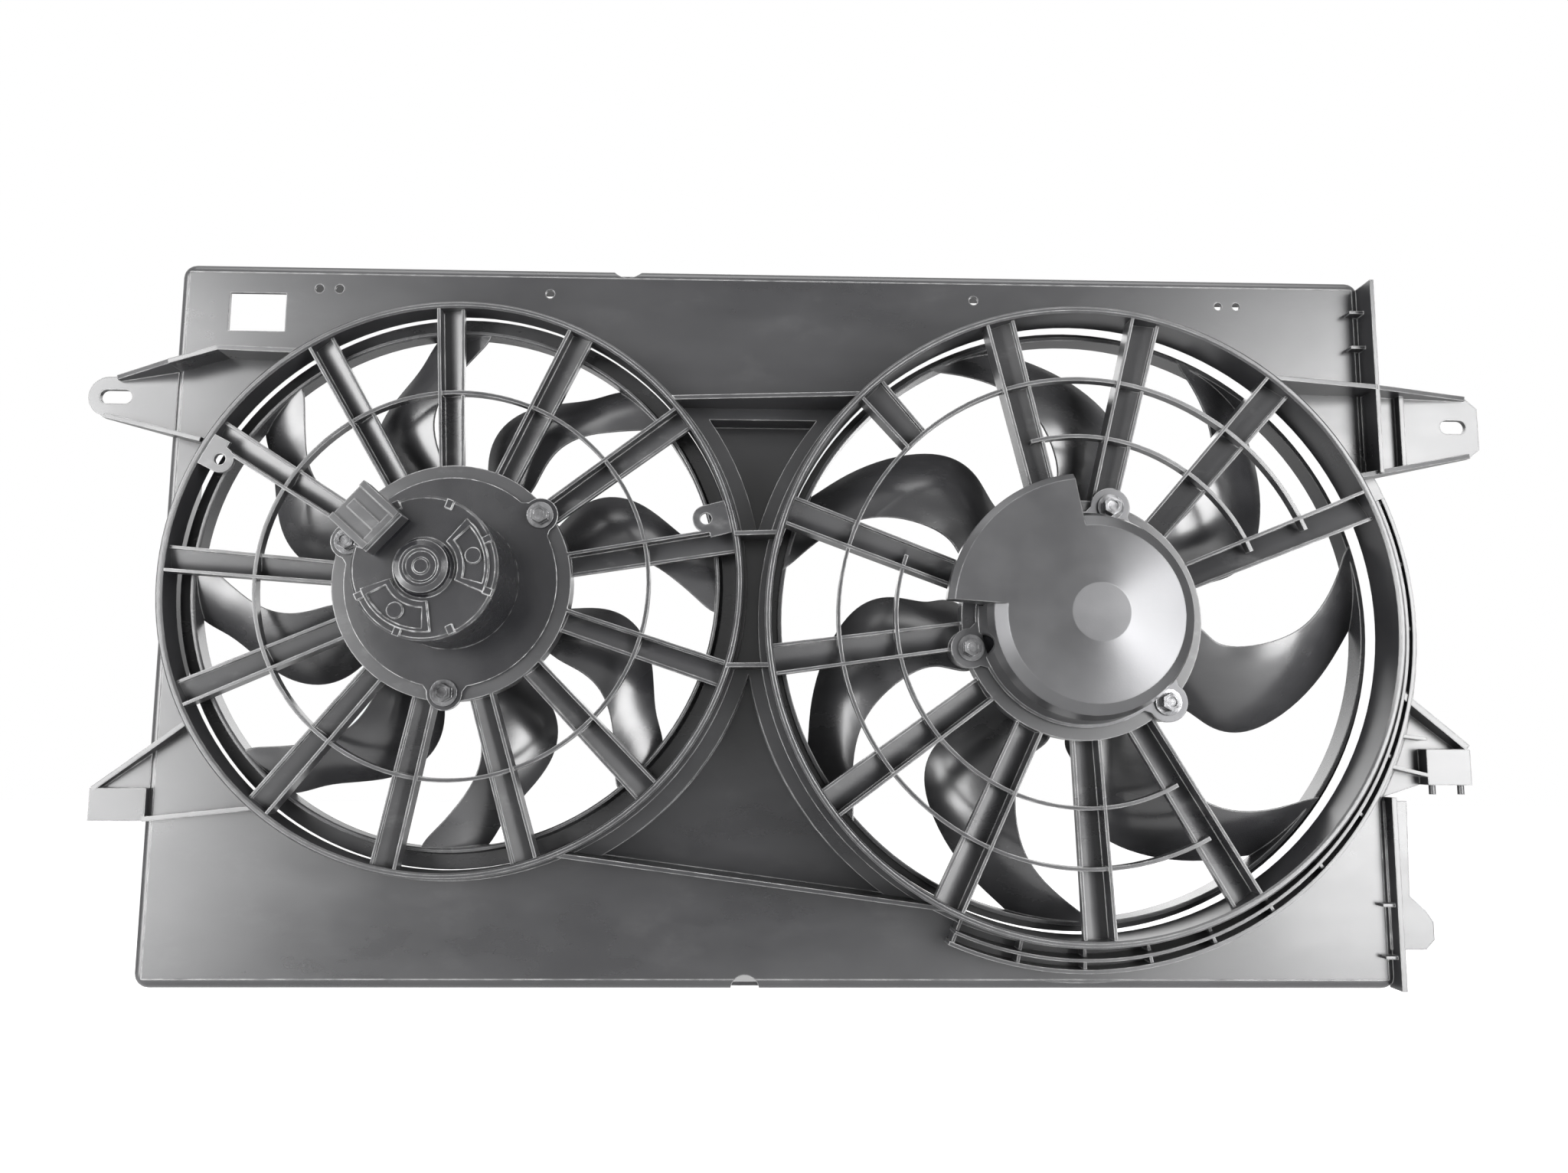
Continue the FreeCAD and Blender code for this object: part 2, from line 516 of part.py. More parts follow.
def left_guard():
    pieces, holes = hub_ring(LEFT_HUB_R, LEFT_BOLT_ANGLES, LEFT_BOLT_PITCH_R, 7.5)
    pieces = [moved(fuse(pieces), 0, LEFT_MOUNT_Y, 0)]
    front = LEFT_RIM_Y
    for deg, inset in LEFT_TABS:
        tab, hole = guard_tab(deg, LEFT_OPEN_R - inset, front + 1)
        pieces.append(tab)
        holes.append(moved(hole, 0, -LEFT_MOUNT_Y, 0))
    for i in range(SPOKE_COUNT):
        arm = spoke(LEFT_HUB_R - 1.2, front + 1.0, LEFT_OPEN_R + 3, front + 1.0, LEFT_SPOKE_W, LEFT_SPOKE_H)
        pieces.append(spin(arm, LEFT_FIRST_SPOKE + i * SPOKE_STEP))
    y0 = front + 2.5
    pieces.append(ring(LEFT_GUARD_R + GUARD_RING_T / 2, LEFT_GUARD_R - GUARD_RING_T / 2, y0, y0 + GUARD_RING_H))
    guard = fuse(pieces).cut(moved(Part.makeCompound(holes), 0, LEFT_MOUNT_Y, 0))
    guard = guard.common(cyl(LEFT_OPEN_R, front - 1, PANEL_Y))
    return moved(guard, LEFT_X, 0, LEFT_Z)


RIGHT_SPOKES = (0, 1, 2, 3, 6, 7, 8, 9, 10, 11)


def right_guard():
    pieces, holes = hub_ring(RIGHT_HUB_R, RIGHT_BOLT_ANGLES, RIGHT_BOLT_PITCH_R, 12.0)
    pieces = [moved(fuse(pieces), 0, RIGHT_MOUNT_Y, 0)]
    for deg in RIGHT_BOLT_ANGLES:
        x, z = polar(RIGHT_BOLT_PITCH_R, deg)
        holes.append(cyl(RIGHT_LOBE_R + EAR_POCKET_GAP, -15, 0, x, z))
    holes.append(cyl(RIGHT_HUB_R + 0.4, -15, 0))
    rim = RIGHT_RIM_Y + 1.0
    hub = RIGHT_MOUNT_Y - 0.5

    def level(r):
        share = (r - RIGHT_HUB_R) / (RIGHT_OPEN_R - RIGHT_HUB_R)
        return hub + (rim - hub) * share
    for k in RIGHT_SPOKES:
        arm = spoke(RIGHT_HUB_R - 1.2, level(RIGHT_HUB_R - 1.2), RIGHT_OPEN_R + 3, level(RIGHT_OPEN_R + 3),
                    RIGHT_SPOKE_W, RIGHT_SPOKE_H)
        pieces.append(spin(arm, RIGHT_FIRST_SPOKE - k * SPOKE_STEP))
    stub = spoke(RIGHT_GUARD_R_OUT, level(RIGHT_GUARD_R_OUT), RIGHT_OPEN_R + 3, level(RIGHT_OPEN_R + 3),
                 RIGHT_SPOKE_W, RIGHT_SPOKE_H)
    pieces.append(spin(stub, RIGHT_FIRST_SPOKE + SPOKE_STEP))
    for r, start, end in ((RIGHT_GUARD_R_OUT, RIGHT_FIRST_SPOKE - 3 * SPOKE_STEP, RIGHT_FIRST_SPOKE + 7 * SPOKE_STEP),
                          (RIGHT_GUARD_R_IN, RIGHT_FIRST_SPOKE - 3 * SPOKE_STEP, RIGHT_FIRST_SPOKE),
                          (RIGHT_GUARD_R_IN, RIGHT_FIRST_SPOKE + 2 * SPOKE_STEP, RIGHT_FIRST_SPOKE + 7 * SPOKE_STEP)):
        y0 = level(r) + 1.5
        hoop = ring(r + GUARD_RING_T / 2, r - GUARD_RING_T / 2, y0, y0 + GUARD_RING_H)
        pieces.append(hoop.common(sector(r + 9, y0 - 1, y0 + GUARD_RING_H + 1, start, end)))
    guard = fuse(pieces).cut(moved(Part.makeCompound(holes), 0, RIGHT_MOUNT_Y, 0))
    guard = guard.common(cyl(RIGHT_OPEN_R, rim - 3, PANEL_Y))
    return moved(guard, RIGHT_X, 0, RIGHT_Z)


# ---------------------------------------------------------------- fans
def blade(stations, band_r, root_y, tip_y, sweep_sign):
    """Lofted blade; each station is (share of the way to the band, centre angle, angular width, pitch)."""
    wires = []
    for share, centre, width, pitch in stations:
        r = FAN_HUB_R + share * (band_r - FAN_HUB_R)
        middle_y = root_y + share * (tip_y - root_y)
        half = r * math.tan(math.radians(width / 2))
        rise = half * math.tan(math.radians(pitch)) * sweep_sign
        ends = (V(r, middle_y + rise, half), V(r, middle_y - rise, -half))
        chord = ends[0].sub(ends[1]).normalize()
        normal = chord.cross(V(1, 0, 0)).normalize()
        camber = 0.06 * 2 * half
        mid = V(r, middle_y, 0).add(normal * (camber * (1 if normal.y < 0 else -1)))
        edge = normal * (BLADE_EDGE_T / 2)
        face = normal * (BLADE_T / 2)
        a0, a1 = ends[0].add(edge), ends[1].add(edge)
        b0, b1 = ends[0].sub(edge), ends[1].sub(edge)
        top = Part.Arc(a0, mid.add(face), a1).toShape()
        bottom = Part.Arc(b1, mid.sub(face), b0).toShape()
        wire = Part.Wire([top, Part.makeLine(a1, b1), bottom, Part.makeLine(b0, a0)])
        wire.rotate(V(0, 0, 0), V(0, 1, 0), -centre)
        wires.append(wire)
    return Part.makeLoft(wires, True, False)


def fan_hub(y0, y1, insert_r, insert_l):
    """Cup that covers the motor nose, with a ribbed boss round the metal insert."""
    wall = ring(FAN_HUB_R, FAN_HUB_R - FAN_WALL, y0, y1)
    web = ring(FAN_HUB_R, insert_r, y1 - 3, y1)
    boss = ring(insert_r + 4, insert_r, y1 - insert_l, y1)
    pieces = [wall, web, boss]
    for i in range(8):
        pieces.append(spin(box(insert_r + 3, FAN_HUB_R - 1, y1 - 10, y1 - 1, -1, 1), i * 45))
    return pieces


def left_fan():
    base = LEFT_MOUNT_Y
    band_front = PANEL_Y - 6.0
    hub = fan_hub(base + 17, base + 42, INSERT_HUB_R, INSERT_HUB_L)
    r = LEFT_BAND_R
    band_back = band_front + LEFT_BAND_L
    flange_r = LEFT_OPEN_R + FLANGE_LAP
    flange_y = band_back - 2.0
    band = turned([(r, band_front + 1), (r + 1, band_front), (r + BAND_WALL, band_front),
                   (r + BAND_WALL, flange_y - 2), (r + BAND_WALL + 2, flange_y), (flange_r, flange_y),
                   (flange_r, band_back), (r, band_back)])
    stations = [(-0.02, 67, 26, 36), (0.17, 70.2, 27.5, 32), (0.29, 71, 27, 30), (0.44, 69.6, 25, 27.5),
                (0.60, 64.4, 21.8, 25), (0.73, 57.8, 17.3, 23), (0.86, 52, 14.5, 21), (1.006, 48, 12.8, 19)]
    arm = blade(stations, r, PANEL_Y + 11.5, PANEL_Y + 2.0, 1)
    blades = [spin(arm, i * 45.0 - 2.0) for i in range(8)]
    return moved(fuse(hub + [band] + blades), LEFT_X, 0, LEFT_Z)


def right_fan():
    base = RIGHT_MOUNT_Y
    band_front = PANEL_Y - 1.0
    hub = fan_hub(base + 20, base + 48, INSERT_HUB_R, INSERT_HUB_L)
    r = RIGHT_BAND_R
    flange_r = RIGHT_OPEN_R + FLANGE_LAP
    flange_y = band_front + 8.5
    band_back = band_front + RIGHT_BAND_L
    band = turned([(r, band_front), (r + BAND_WALL, band_front), (r + BAND_WALL, flange_y), (flange_r, flange_y),
                   (flange_r, flange_y + 2.5), (r + BAND_WALL, flange_y + 2.5), (r + BAND_WALL, band_back),
                   (r, band_back)])
    stations = [(-0.02, -18, 26, 37), (0.236, -20.4, 27.6, 30), (0.407, -20.1, 27.4, 25), (0.57, -16.2, 26.8, 23),
                (0.715, -9.4, 22.8, 21), (0.83, -2.2, 19.8, 20), (0.92, 4.0, 17.6, 19), (1.005, 9.0, 15.4, 18)]
    arm = blade(stations, r, PANEL_Y + 11.0, PANEL_Y + 7.0, -1)
    blades = [spin(arm, i * 360.0 / 7 - 0.8) for i in range(7)]
    return moved(fuse(hub + [band] + blades), RIGHT_X, 0, RIGHT_Z)


# ---------------------------------------------------------------- motors
INSERT_HUB_R = 9.0
INSERT_HUB_L = 18.0
NUT_H = 5.0


def hexagon(across, y0, y1):
    pts = [polar(across / math.sqrt(3), 60 * i + 30) for i in range(6)]
    return prism(pts, y0, y1)


def bolt_set(angles, pitch_r, seat):
    """Flanged hex bolts whose heads seat on the plate face."""
    head = fuse([cyl(BOLT_HEAD_R, seat - 1.6, seat), hexagon(10.0, seat - 7.0, seat - 1.4),
                 cyl(BOLT_R, seat - 0.5, INSERT_L - 1)])
    dimple = cyl(3.2, seat - 8, seat - 6.2)
    head = head.cut(dimple)
    return [moved(head, *(polar(pitch_r, a)[0], 0, polar(pitch_r, a)[1])) for a in angles]


def eared_disc(r, hole_r, lobe_r, angles, pitch_r, y0, y1):
    """Flat ring whose three ears take the motor bolts."""
    pieces = [cyl(r, y0, y1)]
    cuts = [cyl(hole_r, y0 - 1, y1 + 1)]
    for a in angles:
        x, z = polar(pitch_r, a)
        pieces.append(cyl(lobe_r, y0, y1, x, z))
        cuts.append(cyl(BOLT_R + BOLT_HOLE_GAP, y0 - 1, y1 + 1, x, z))
        foot = [polar(r - 2, a - 14), polar(r - 2, a + 14)]
        head = [polar(pitch_r + 2, a + 7.5), polar(pitch_r + 2, a - 7.5)]
        pieces.append(prism(foot + head, y0, y1))
    return fuse(pieces).cut(Part.makeCompound(cuts))


def motor_can(end, nose):
    """Drawn steel can, closed towards the fan, with a neck for its bushing."""
    r = CAN_R
    w = CAN_WALL
    neck = BUSH_R + 1.5
    profile = [(r, end), (r, nose - 6), (r - 6, nose), (neck + 2, nose), (neck, nose + BUSH_L - 2),
               (SHAFT_R + 1.5, nose + BUSH_L - 2), (SHAFT_R + 1.5, nose + BUSH_L - 3.5), (BUSH_R, nose + BUSH_L - 3.5),
               (BUSH_R, nose - w), (r - 6, nose - w), (r - w, nose - 6), (r - w, end)]
    return turned(profile)


def end_cap(end, connector_angle):
    """Pressed end cap with a bearing boss, crimp tabs and two embossed panels."""
    r = CAN_R
    cap = turned([(r - CAN_WALL, end + 4), (r - CAN_WALL, end), (r, end), (r, end - 1.5), (r - 1.5, end - 3),
                  (17.5, end - 3), (15.8, end - 5), (15.2, end - 9), (12.0, end - 10.5), (10.0, end - 10.5), (8.5, end - 9),
                  (5.0, end - 9), (4.0, end - 10), (0, end - 10), (0, end - 7.5), (BUSH_R, end - 7.5),
                  (BUSH_R, end - 1), (r - 4, end - 1), (r - 4, end + 4)])
    panels = []
    for start, stop in ((connector_angle - 160, connector_angle - 88), (connector_angle + 62, connector_angle + 140)):
        raised = sector(r - 5, end - 5.2, end - 2, start, stop).cut(cyl(19.5, end - 6, end))
        sunk = sector(r - 7, end - 5.8, end - 3.6, start + 7, stop - 7).cut(cyl(23.0, end - 6, end))
        middle = (start + stop) / 2
        stud = cyl(4.6, end - 5.4, end - 2, *polar(29.0, middle))
        panels.append(raised.cut(sunk).fuse(stud))
    tabs = []
    for i in range(8):
        deg = connector_angle + 22 + i * 45
        tabs.append(spin(box(r - 5.5, r - 0.2, end - 4.6, end - 2.2, -2.0, 2.0), deg))
    return fuse([cap] + panels + tabs)


def connector(r0, r1, y0, y1, width, deg):
    """Socket housing that opens outwards, with guide rails and a latch rail."""
    body = box(r0, r1, y0, y1, -width / 2, width / 2)
    cavity = box(r0 + 8, r1 + 1, y0 + 2.2, y1 - 2.2, -width / 2 + 3.2, width / 2 - 3.2)
    body = body.cut(cavity)
    rails = [box(r0 + 2, r1, y0 - 2, y0 + 1, s * (width / 2 - 2) - 2, s * (width / 2 - 2) + 2) for s in (-1, 1)]
    rails.append(box(r0 + 6, r1 - 3, y0 - 1.5, y0 + 1, -3, 3))
    rails.append(box(r0 + 2, r0 + 6, y0 - 1.2, y0 + 1, -width / 2 + 1, width / 2 - 1))
    return spin(fuse([body] + rails), deg)


def terminals(r0, r1, y_mid, deg):
    pins = []
    for z in (-5.5, 5.5):
        pins.append(spin(box(r0 + 8, r1 - 4, y_mid - 0.4, y_mid + 0.4, z - 3.1, z + 3.1), deg))
    return pins


def magnets(y0, y1):
    """Two curved magnets bonded inside the can."""
    hollow = ring(CAN_R - CAN_WALL, CAN_R - CAN_WALL - 6.5, y0, y1)
    return [hollow.common(sector(CAN_R, y0, y1, a, a + 136)) for a in (22.0, 202.0)]


def armature(y0, y1):
    """Laminated core with open slots."""
    core = cyl(32.0, y0, y1)
    slots = []
    for i in range(10):
        slot = fuse([box(21, 29.5, y0 - 1, y1 + 1, -3.2, 3.2), box(28, 34, y0 - 1, y1 + 1, -1.2, 1.2)])
        slots.append(spin(slot, i * 36))
    core = core.cut(Part.makeCompound(slots)).cut(cyl(SHAFT_R, y0 - 1, y1 + 1))
    return core


def winding_ends(y0, y1):
    """Copper coil heads at both ends of the core."""
    near = turned([(9, y0), (9, y0 - 5), (12, y0 - 7), (26, y0 - 7), (29, y0 - 4), (29, y0)])
    far = turned([(9, y1), (9, y1 + 5), (12, y1 + 7), (26, y1 + 7), (29, y1 + 4), (29, y1)])
    return [near, far]


def commutator(y0, y1):
    body = ring(11.0, SHAFT_R, y0, y1)
    cuts = [spin(box(10.2, 12, y0 + 1, y1 + 1, -0.35, 0.35), i * 36 + 18) for i in range(10)]
    return body.cut(Part.makeCompound(cuts))


def brush_gear(y0, y1, deg):
    """Brush card, its two brushes and the springs behind them."""
    card_y0 = y0 - 3.0
    card = ring(CAN_R - CAN_WALL, 13.0, card_y0 - 2.0, card_y0)
    boxes = []
    brushes = []
    springs = []
    for side in (0, 180):
        frame = box(14, 34, card_y0 - 0.5, y1, -5.5, 5.5)
        frame = frame.cut(box(13, 33, card_y0, y1 - 1.5, -4, 4))
        boxes.append(spin(frame, deg + side))
        carbon = box(11.3, 24, card_y0, y1 - 1.5, -4, 4).cut(cyl(11.3, card_y0 - 1, y1))
        brushes.append(spin(carbon, deg + side))
        mid = (card_y0 + y1 - 1.5) / 2
        coils = [Part.makeTorus(2.6, 0.55, V(24.6 + 1.25 * i, mid, 0), V(1, 0, 0)) for i in range(7)]
        springs += [spin(c, deg + side) for c in coils]
    return fuse([card] + boxes), brushes, springs


def motor(name, x, y, z, end, nose, angles, pitch_r, lobe_r, seat, plug, fan_y1):
    """All pieces of one motor about its own axis, moved into place and saved."""
    r0, r1, p0, p1, width, deg = plug
    core0 = end + 24
    core1 = nose - 12
    comm0 = end + 6.5
    comm1 = core0 - 8.5
    card, brushes, springs = brush_gear(comm0 + 3, comm0 + 10, deg + 90)
    shaft_end = fan_y1 + 8
    rear_bush0 = end - 7.5
    parts = {
        "mount_plate": eared_disc(PLATE_R, CAN_R, lobe_r, angles, pitch_r, -PLATE_T, 0),
        "motor_can": motor_can(end, nose),
        "end_cap": end_cap(end, deg),
        "connector": connector(r0, r1, p0, p1, width, deg),
        "terminals": Part.makeCompound(terminals(r0, r1, (p0 + p1) / 2 + 0.8, deg)),
        "mount_bolts": Part.makeCompound(bolt_set(angles, pitch_r, seat)),
        "threaded_inserts": Part.makeCompound([ring(INSERT_R, BOLT_R, 0, INSERT_L, *polar(pitch_r, a)) for a in angles]),
        "magnets": Part.makeCompound(magnets(core0 - 4, core1 + 4)),
        "armature_core": armature(core0, core1),
        "windings": Part.makeCompound(winding_ends(core0, core1)),
        "commutator": commutator(comm0, comm1),
        "brush_card": card,
        "brushes": Part.makeCompound(brushes),
        "brush_springs": Part.makeCompound(springs),
        "front_bushing": ring(BUSH_R, SHAFT_R + RUN_GAP, nose + BUSH_L - 3.5 - BUSH_L, nose + BUSH_L - 3.5),
        "rear_bushing": ring(BUSH_R, SHAFT_R + RUN_GAP, rear_bush0, rear_bush0 + 6.0),
        "shaft": cyl(SHAFT_R, rear_bush0 + 0.6, shaft_end),
        "fan_insert": ring(INSERT_HUB_R, SHAFT_R, fan_y1 - INSERT_HUB_L, fan_y1),
        "fan_nut": hexagon(13.0, fan_y1, fan_y1 + NUT_H).cut(cyl(SHAFT_R, fan_y1 - 1, fan_y1 + NUT_H + 1)),
    }
    for part, shape in parts.items():
        save(name + "_" + part, moved(shape, x, y, z))


def motor_cover():
    """Domed heat shield over the right motor, with a wing over its connector and bolt ears."""
    t = COVER_T
    top = -45.0
    r_side = 66.0
    base = -PLATE_T
    profile = [(0, top), (17.7, top), (54, top + 10), (61, top + 16), (64, top + 24), (r_side, base - t)]
    inner = [(r_side - t, base), (64 - t, top + 24.5), (60, top + 17), (53, top + 11.5), (17.5, top + t), (0, top + t)]
    start, stop = 96.0, 174.0
    wing_r = 88.7
    slope = 10.0 / (54 - 17.7)
    edge_y = top + (wing_r - 4 - 17.7) * slope
    wing_end = edge_y + 12
    dome = turned(profile + [(r_side, base)] + inner)
    dome = dome.cut(sector(wing_r, top - 1, base - t, start, stop).cut(cyl(16.0, top - 2, 0)))
    foot = eared_disc(r_side + 2, r_side - t, RIGHT_LOBE_R, RIGHT_BOLT_ANGLES, RIGHT_BOLT_PITCH_R, base - t, base)
    wing = turned([(15, top), (17.7, top), (wing_r - 4, edge_y), (wing_r, edge_y + 4), (wing_r, wing_end),
                   (wing_r - t, wing_end), (wing_r - t, edge_y + 4.6), (wing_r - 4.6, edge_y + t), (17.5, top + t),
                   (15, top + t)], 0, 0, stop - start)
    cheek = turned([(52, top + 10), (wing_r - 4.2, edge_y + 0.3), (wing_r - 0.3, edge_y + 4.2), (wing_r - 0.3, wing_end),
                    (63.2, wing_end), (52, top + 12)], 0, 0, 1.2)
    cheeks = [spin(cheek, start), spin(cheek, stop - 1.2)]
    cover = fuse([dome, spin(wing, start)] + cheeks)
    reliefs = []
    for a in RIGHT_BOLT_ANGLES:
        bx, bz = polar(RIGHT_BOLT_PITCH_R, a)
        reliefs.append(cyl(RIGHT_LOBE_R - 1.5, -30, 1, bx, bz))
    cover = fuse([cover.cut(Part.makeCompound(reliefs)), foot])
    return moved(cover, RIGHT_X, RIGHT_MOUNT_Y, RIGHT_Z)


def main():
    os.makedirs(PARTS, exist_ok=True)
    save_moulding()
    save("left_guard", left_guard())
    save("right_guard", right_guard())
    save("left_fan", left_fan())
    save("right_fan", right_fan())
    left_plug = (25.0, 54.0, LEFT_CAN_END - 18.6, LEFT_CAN_END - 5.4, 28.5, 138.0)
    right_plug = (CAN_R, 74.0, -24.0, -8.0, 28.0, 135.0)
    motor("left", LEFT_X, LEFT_MOUNT_Y, LEFT_Z, LEFT_CAN_END, LEFT_CAN_NOSE, LEFT_BOLT_ANGLES,
          LEFT_BOLT_PITCH_R, LEFT_LOBE_R, -PLATE_T, left_plug, 42.0)
    motor("right", RIGHT_X, RIGHT_MOUNT_Y, RIGHT_Z, RIGHT_CAN_END, RIGHT_CAN_NOSE, RIGHT_BOLT_ANGLES,
          RIGHT_BOLT_PITCH_R, RIGHT_LOBE_R, -PLATE_T - COVER_T, right_plug, 48.0)
    save("right_motor_cover", motor_cover())


main()
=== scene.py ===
import math

import bpy
from mathutils import Euler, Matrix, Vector


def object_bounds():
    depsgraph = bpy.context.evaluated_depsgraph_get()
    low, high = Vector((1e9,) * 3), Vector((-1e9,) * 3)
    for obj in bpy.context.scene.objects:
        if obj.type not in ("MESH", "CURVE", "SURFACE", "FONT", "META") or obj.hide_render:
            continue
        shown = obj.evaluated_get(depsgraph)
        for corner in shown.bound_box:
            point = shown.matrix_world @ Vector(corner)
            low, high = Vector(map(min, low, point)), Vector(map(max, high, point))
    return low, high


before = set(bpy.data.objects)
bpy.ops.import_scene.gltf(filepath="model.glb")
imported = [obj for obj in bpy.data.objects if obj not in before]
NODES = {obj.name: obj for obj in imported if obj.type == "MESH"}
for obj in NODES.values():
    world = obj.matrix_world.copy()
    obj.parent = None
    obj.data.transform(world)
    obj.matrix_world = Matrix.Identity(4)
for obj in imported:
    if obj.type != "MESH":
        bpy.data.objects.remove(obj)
cad_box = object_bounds()


# ------------------------------------------------------------ node helpers
BEVEL_SAMPLES = 4
EDGE_FLAT = 0.98        # cosine between rounded and true normal where an edge begins to show
EDGE_FULL = 0.80        # and where it shows in full


class Tree:
    """Short calls for building one node material."""

    def __init__(self, name):
        self.mat = bpy.data.materials.new(name)
        self.mat.use_nodes = True
        self.nodes = self.mat.node_tree.nodes
        self.links = self.mat.node_tree.links
        self.shader = self.nodes["Principled BSDF"]
        self.coord = self.nodes.new("ShaderNodeTexCoord")

    def link(self, source, target):
        self.links.new(source, target)

    def stretched(self, scale):
        """Object coordinates stretched by (x, y, z)."""
        mapping = self.nodes.new("ShaderNodeMapping")
        mapping.inputs["Scale"].default_value = scale
        self.link(self.coord.outputs["Object"], mapping.inputs["Vector"])
        return mapping.outputs["Vector"]

    def noise(self, scale, detail=3.0, rough=0.55, vector=None):
        node = self.nodes.new("ShaderNodeTexNoise")
        node.inputs["Scale"].default_value = scale
        node.inputs["Detail"].default_value = detail
        node.inputs["Roughness"].default_value = rough
        self.link(vector or self.coord.outputs["Object"], node.inputs["Vector"])
        return node.outputs["Fac"]

    def remap(self, value, low, high, to_low, to_high):
        node = self.nodes.new("ShaderNodeMapRange")
        for key, number in (("From Min", low), ("From Max", high), ("To Min", to_low), ("To Max", to_high)):
            node.inputs[key].default_value = number
        self.link(value, node.inputs["Value"])
        return node.outputs["Result"]

    def math(self, operation, a, b):
        node = self.nodes.new("ShaderNodeMath")
        node.operation = operation
        for socket, value in zip(node.inputs, (a, b)):
            if isinstance(value, (int, float)):
                socket.default_value = value
            else:
                self.link(value, socket)
        return node.outputs["Value"]

    def mix(self, share, a, b):
        """Colour mix; a and b are RGB triples or sockets."""
        node = self.nodes.new("ShaderNodeMix")
        node.data_type = "RGBA"
        self.link(share, node.inputs["Factor"])
        for key, value in (("A", a), ("B", b)):
            socket = [s for s in node.inputs if s.name == key and s.type == "RGBA"][0]
            if isinstance(value, tuple):
                socket.default_value = (*value, 1.0)
            else:
                self.link(value, socket)
        return [s for s in node.outputs if s.type == "RGBA"][0]

    def edges(self, radius):
        """Rounded-edge normal and a mask that is 1 along sharp edges."""
        bevel = self.nodes.new("ShaderNodeBevel")
        bevel.samples = BEVEL_SAMPLES
        bevel.inputs["Radius"].default_value = radius
        geometry = self.nodes.new("ShaderNodeNewGeometry")
        dot = self.nodes.new("ShaderNodeVectorMath")
        dot.operation = "DOT_PRODUCT"
        self.link(bevel.outputs["Normal"], dot.inputs[0])
        self.link(geometry.outputs["Normal"], dot.inputs[1])
        mask = self.remap(dot.outputs["Value"], EDGE_FLAT, EDGE_FULL, 0.0, 1.0)
        return bevel.outputs["Normal"], mask

    def bump(self, height, strength, distance, normal=None):
        node = self.nodes.new("ShaderNodeBump")
        node.inputs["Strength"].default_value = strength
        node.inputs["Distance"].default_value = distance
        self.link(height, node.inputs["Height"])
        if normal is not None:
            self.link(normal, node.inputs["Normal"])
        self.link(node.outputs["Normal"], self.shader.inputs["Normal"])

    def colour(self, socket):
        self.link(socket, self.shader.inputs["Base Color"])

    def roughness(self, socket):
        self.link(socket, self.shader.inputs["Roughness"])


# ------------------------------------------------------------ materials
GRAIN_SCALE = 1400.0
PLASTIC_EDGE = 0.0011   # m, radius to which an edge is shaded as rounded
STEEL_EDGE = 0.0010
BARE_EDGE = 0.0004


def moulded_plastic(name, dark, light, edge, rough, dusty=0.12):
    """Moulded black plastic: flow marks, dusty smears, fine grain, and pale edges that are partly wear and
    partly a painted highlight.
    """
    t = Tree(name)
    flow = t.noise(5.5, detail=4.0, rough=0.6, vector=t.stretched((1.0, 1.0, 2.6)))
    smear = t.noise(38.0, detail=6.0, rough=0.7, vector=t.stretched((0.6, 1.0, 1.2)))
    base = t.mix(t.remap(flow, 0.35, 0.70, 0.0, 1.0), dark, light)
    dust = t.mix(t.remap(smear, 0.56, 0.78, 0.0, dusty), base, edge)
    normal, mask = t.edges(PLASTIC_EDGE)
    # pale colour along sharp edges: partly wear, partly a painted highlight
    edge_highlight_and_wear = t.math("MULTIPLY", mask, t.remap(t.noise(90.0, detail=3.0), 0.35, 0.65, 0.35, 1.0))
    t.colour(t.mix(edge_highlight_and_wear, dust, edge))
    flow_rough = t.remap(flow, 0.3, 0.7, -0.05, 0.05)
    smear_rough = t.remap(smear, 0.4, 0.75, -0.012, 0.028)
    spread = t.math("ADD", flow_rough, smear_rough)
    t.roughness(t.math("ADD", spread, rough))
    t.bump(t.noise(GRAIN_SCALE, detail=2.0, rough=0.5), strength=0.10, distance=0.0002, normal=normal)
    return t.mat


def painted_steel(name, dark, light, edge, rough, metallic=0.0, peel=420.0, peel_depth=0.00025):
    """Painted pressed steel: orange peel, faint cloudiness, and paler edges that are partly wear and partly
    a painted highlight.
    """
    t = Tree(name)
    cloud = t.noise(16.0, detail=4.0, rough=0.6)
    fine = t.noise(peel, detail=2.0, rough=0.5)
    base = t.mix(t.remap(cloud, 0.35, 0.68, 0.0, 1.0), dark, light)
    normal, mask = t.edges(STEEL_EDGE)
    # paler colour along sharp edges: partly worn paint, partly a painted highlight
    edge_wear_and_highlight = t.math("MULTIPLY", mask, t.remap(t.noise(160.0, detail=4.0), 0.42, 0.60, 0.2, 1.0))
    t.colour(t.mix(edge_wear_and_highlight, base, edge))
    t.roughness(t.remap(cloud, 0.3, 0.7, rough - 0.05, rough + 0.06))
    t.shader.inputs["Metallic"].default_value = metallic
    t.bump(fine, strength=0.16, distance=peel_depth, normal=normal)
    return t.mat


def bare_metal(name, dark, light, rough, scratch=(1.0, 14.0, 1.0), bump=0.08):
    """Plated or machined metal with fine directional scratches."""
    t = Tree(name)
    stain = t.noise(60.0, detail=4.0, rough=0.6)
    lines = t.noise(260.0, detail=2.0, rough=0.5, vector=t.stretched(scratch))
    t.colour(t.mix(t.remap(stain, 0.35, 0.65, 0.0, 1.0), dark, light))
    t.roughness(t.math("ADD", t.remap(lines, 0.3, 0.7, -0.06, 0.08), rough))
    t.shader.inputs["Metallic"].default_value = 1.0
    normal, _mask = t.edges(BARE_EDGE)
    t.bump(lines, strength=bump, distance=0.0002, normal=normal)
    return t.mat


